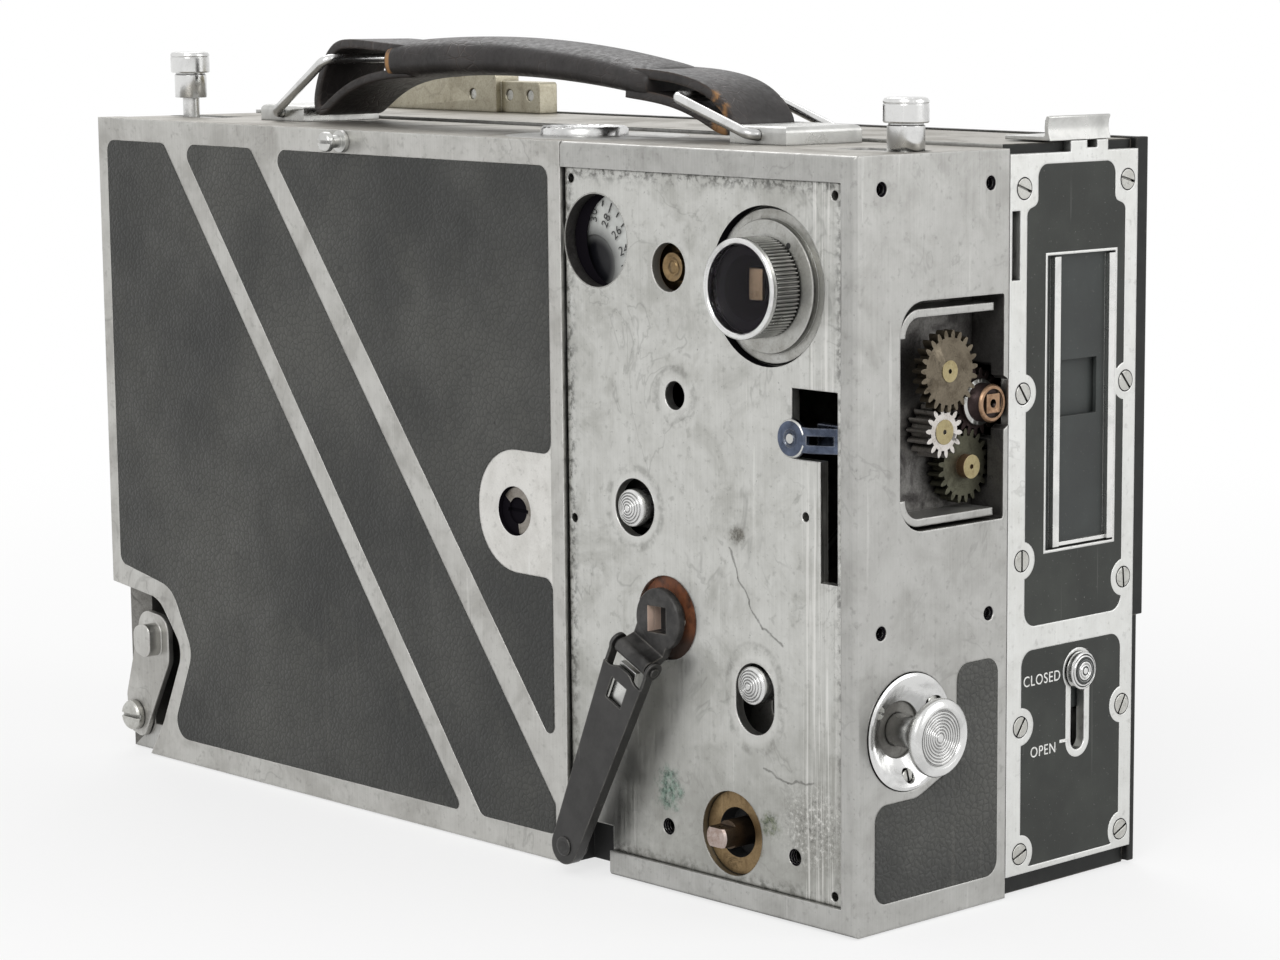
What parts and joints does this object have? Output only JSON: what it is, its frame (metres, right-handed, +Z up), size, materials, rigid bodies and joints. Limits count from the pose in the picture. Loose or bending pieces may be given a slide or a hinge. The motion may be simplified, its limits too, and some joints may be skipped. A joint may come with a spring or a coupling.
{
  "type": "movie camera",
  "caption": "Spring-driven 16 mm movie camera body with a folding winding crank, open gear train, leather carrying handle and detachable film magazine.",
  "frame": {"origin": "mouth of the threaded tripod bush in the base, in the middle of the motor body's width and length", "axes": "+Z up; -Y towards the front face with the gear recess; -X towards the crank side; +X towards the magazine lid"},
  "size_m": [0.0863, 0.2403, 0.1585],
  "materials": {
    "body_alloy": "satin, worn",
    "leather": "grained, matt",
    "bright_steel": "polished",
    "steel": "satin",
    "black_steel": "oxidised, worn",
    "bronze": "dull, patinated",
    "fibre": "dull",
    "glass": "polished"
  },
  "bodies": {
    "camera_body": {"motor_housing": "body_alloy", "tripod_bush": "bronze", "side_cover": "body_alloy", "leather_panels": "leather", "housing_screws": "steel", "tape_hook": "steel", "mechanism_plate": "body_alloy", "bearing_bridges": "bronze", "crank_bush": "fibre", "hand_shaft_bush": "bronze", "eyepiece_tube": "bright_steel", "motor_studs": "steel", "gear_bridge": "body_alloy", "escutcheon": "bright_steel", "counter_cap": "bright_steel", "counter_glass": "glass", "handle_plates": "bright_steel"},
    "winding_hub": {"winding_shaft": "steel", "crank_head": "black_steel"},
    "folding_arm": {"crank_arm": "black_steel", "crank_rivets": "black_steel", "crank_spring": "steel"},
    "arm_knob": {"crank_knob": "black_steel"},
    "idler": {"transfer_gear": "bronze"},
    "barrel": {"spring_barrel": "bronze", "mainspring": "steel"},
    "hand_crank_shaft": {"hand_shaft": "steel"},
    "dial": {"speed_dial": "black_steel"},
    "adjuster": {"speed_adjuster": "bronze"},
    "focus_ring": {"eyepiece_ring": "bright_steel", "eyepiece_lens": "glass"},
    "release": {"release_button": "bright_steel"},
    "slide_control": {"slide_button": "bright_steel"},
    "shutter_control": {"shutter_lever": "steel"},
    "run_control": {"run_knob": "bright_steel"},
    "first_gear": {"gear_a": "bronze", "governor": "steel"},
    "second_gear": {"gear_b": "steel"},
    "third_gear": {"gear_c": "bronze"},
    "film_drive": {"coupling_gear": "bronze"},
    "counter": {"counter_dial": "black_steel"},
    "front_post": {"top_post_front": "bright_steel"},
    "rear_post": {"top_post_rear": "bright_steel"},
    "front_ring": {"handle_ring_front": "bright_steel"},
    "rear_ring": {"handle_ring_rear": "bright_steel"},
    "handle": {"handle_grip": "leather"},
    "cover_lever": {"cover_latch": "steel"},
    "magazine": {"magazine_case": "body_alloy", "magazine_face_plate": "body_alloy", "magazine_panels": "black_steel", "magazine_screws": "steel", "gate_frame": "bright_steel", "finder_bracket": "body_alloy"},
    "lid": {"magazine_lid": "black_steel"},
    "thumb_latch": {"magazine_latch": "bright_steel"},
    "light_slide": {"dark_slide": "bright_steel"},
    "film_presser": {"pressure_plate": "steel"},
    "supply": {"supply_spool": "black_steel"},
    "takeup": {"takeup_spool": "black_steel"},
    "sprocket": {"film_sprocket": "steel"}
  },
  "joints": [
    {"name": "winding_turn", "type": "hinge", "parent": "camera_body", "child": "winding_hub", "pos_m": [-0.021, -0.0656, 0.0521], "axis": [1, 0, 0], "continuous": true},
    {"name": "crank_fold", "type": "hinge", "parent": "winding_hub", "child": "folding_arm", "pos_m": [-0.02395, -0.0622, 0.04497], "axis": [0, 0.9026, 0.4305], "range_deg": [0, 180]},
    {"name": "knob_spin", "type": "hinge", "parent": "folding_arm", "child": "arm_knob", "pos_m": [-0.0235, -0.04343, 0.00562], "axis": [1, 0, 0], "continuous": true},
    {"name": "idler_spin", "type": "hinge", "parent": "camera_body", "child": "idler", "pos_m": [0, -0.02947, 0.05893], "axis": [1, 0, 0], "continuous": true},
    {"name": "barrel_spin", "type": "hinge", "parent": "camera_body", "child": "barrel", "pos_m": [0, 0.03982, 0.07202], "axis": [1, 0, 0], "continuous": true},
    {"name": "hand_shaft_turn", "type": "hinge", "parent": "camera_body", "child": "hand_crank_shaft", "pos_m": [-0.02, -0.083, 0.0137], "axis": [1, 0, 0], "continuous": true},
    {"name": "dial_turn", "type": "hinge", "parent": "camera_body", "child": "dial", "pos_m": [-0.015, -0.0425, 0.1168], "axis": [1, 0, 0], "range_deg": [-70, 70]},
    {"name": "adjuster_turn", "type": "hinge", "parent": "camera_body", "child": "adjuster", "pos_m": [-0.015, -0.0668, 0.11782], "axis": [1, 0, 0], "range_deg": [-112, 112]},
    {"name": "eyepiece_focus", "type": "hinge", "parent": "camera_body", "child": "focus_ring", "pos_m": [-0.023, -0.0927, 0.1159], "axis": [1, 0, 0], "range_deg": [-120, 120]},
    {"name": "release_press", "type": "slide", "parent": "camera_body", "child": "release", "axis": [1, 0, 0], "range_m": [0, 0.002], "stiffness_N_per_m": 400},
    {"name": "slide_control_move", "type": "slide", "parent": "camera_body", "child": "slide_control", "axis": [0, 0, 1], "range_m": [-0.0052, 0]},
    {"name": "shutter_lever_move", "type": "slide", "parent": "camera_body", "child": "shutter_control", "axis": [0, 0, 1], "range_m": [-0.0231, 0.0057]},
    {"name": "run_knob_press", "type": "slide", "parent": "camera_body", "child": "run_control", "axis": [0, 1, 0], "range_m": [0, 0.003], "stiffness_N_per_m": 500},
    {"name": "first_gear_spin", "type": "hinge", "parent": "camera_body", "child": "first_gear", "pos_m": [0.0058, -0.1134, 0.1004], "axis": [0, 1, 0], "continuous": true},
    {"name": "second_gear_spin", "type": "hinge", "parent": "camera_body", "child": "second_gear", "pos_m": [0.00541, -0.111, 0.08929], "axis": [0, 1, 0], "continuous": true},
    {"name": "third_gear_spin", "type": "hinge", "parent": "camera_body", "child": "third_gear", "pos_m": [0.01317, -0.11, 0.08218], "axis": [0, 1, 0], "continuous": true},
    {"name": "film_drive_spin", "type": "hinge", "parent": "camera_body", "child": "film_drive", "pos_m": [0.01648, -0.11, 0.09373], "axis": [0, 1, 0], "continuous": true},
    {"name": "counter_turn", "type": "hinge", "parent": "camera_body", "child": "counter", "pos_m": [0.0012, -0.0209, 0.137], "axis": [0, 0, 1], "continuous": true},
    {"name": "front_post_lift", "type": "slide", "parent": "camera_body", "child": "front_post", "axis": [0, 0, 1], "range_m": [0, 0.0044]},
    {"name": "rear_post_drop", "type": "slide", "parent": "camera_body", "child": "rear_post", "axis": [0, 0, 1], "range_m": [-0.0044, 0]},
    {"name": "handle_lift", "type": "slide", "parent": "camera_body", "child": "handle", "axis": [0, 0, 1], "range_m": [0, 0.0025]},
    {"name": "front_ring_swing", "type": "hinge", "parent": "camera_body", "child": "front_ring", "pos_m": [0.008, -0.073, 0.1417], "axis": [1, 0, 0], "range_deg": [0, 16]},
    {"name": "rear_ring_swing", "type": "hinge", "parent": "camera_body", "child": "rear_ring", "pos_m": [0.008, 0.073, 0.1417], "axis": [-1, 0, 0], "range_deg": [0, 17]},
    {"name": "cover_latch_turn", "type": "hinge", "parent": "camera_body", "child": "cover_lever", "pos_m": [-0.018, 0.11, 0.0076], "axis": [-1, 0, 0], "range_deg": [0, 60]},
    {"name": "magazine_pull", "type": "slide", "parent": "camera_body", "child": "magazine", "axis": [1, 0, 0], "range_m": [0, 0.06]},
    {"name": "lid_pull", "type": "slide", "parent": "magazine", "child": "lid", "axis": [1, 0, 0], "range_m": [0, 0.04]},
    {"name": "thumb_latch_slide", "type": "slide", "parent": "magazine", "child": "thumb_latch", "axis": [0, 1, 0], "range_m": [0, 0.003]},
    {"name": "dark_slide_move", "type": "slide", "parent": "magazine", "child": "light_slide", "axis": [0, 0, 1], "range_m": [-0.0133, 0]},
    {"name": "pressure_plate_give", "type": "slide", "parent": "magazine", "child": "film_presser", "axis": [0, 1, 0], "range_m": [0, 0.0015], "stiffness_N_per_m": 300},
    {"name": "supply_spin", "type": "hinge", "parent": "magazine", "child": "supply", "pos_m": [0.04, -0.038, 0.07], "axis": [1, 0, 0], "continuous": true},
    {"name": "takeup_spin", "type": "hinge", "parent": "magazine", "child": "takeup", "pos_m": [0.04, 0.06, 0.07], "axis": [1, 0, 0], "continuous": true},
    {"name": "sprocket_spin", "type": "hinge", "parent": "magazine", "child": "sprocket", "pos_m": [0.04, -0.097, 0.04], "axis": [1, 0, 0], "continuous": true}
  ],
  "couplings": [
    {"joint": "idler_spin", "follows": "barrel_spin", "ratio": -1.7647},
    {"joint": "winding_turn", "follows": "barrel_spin", "ratio": 4},
    {"joint": "adjuster_turn", "follows": "dial_turn", "ratio": -1.3824},
    {"joint": "supply_spin", "follows": "takeup_spin", "ratio": 1},
    {"joint": "sprocket_spin", "follows": "takeup_spin", "ratio": 2},
    {"joint": "film_drive_spin", "follows": "takeup_spin", "ratio": 16},
    {"joint": "third_gear_spin", "follows": "takeup_spin", "ratio": -14.476},
    {"joint": "second_gear_spin", "follows": "takeup_spin", "ratio": 21.714},
    {"joint": "first_gear_spin", "follows": "takeup_spin", "ratio": -13.217},
    {"joint": "front_ring_swing", "follows": "handle_lift", "rad_per_m": 50.025},
    {"joint": "rear_ring_swing", "follows": "handle_lift", "rad_per_m": 58.393}
  ]
}
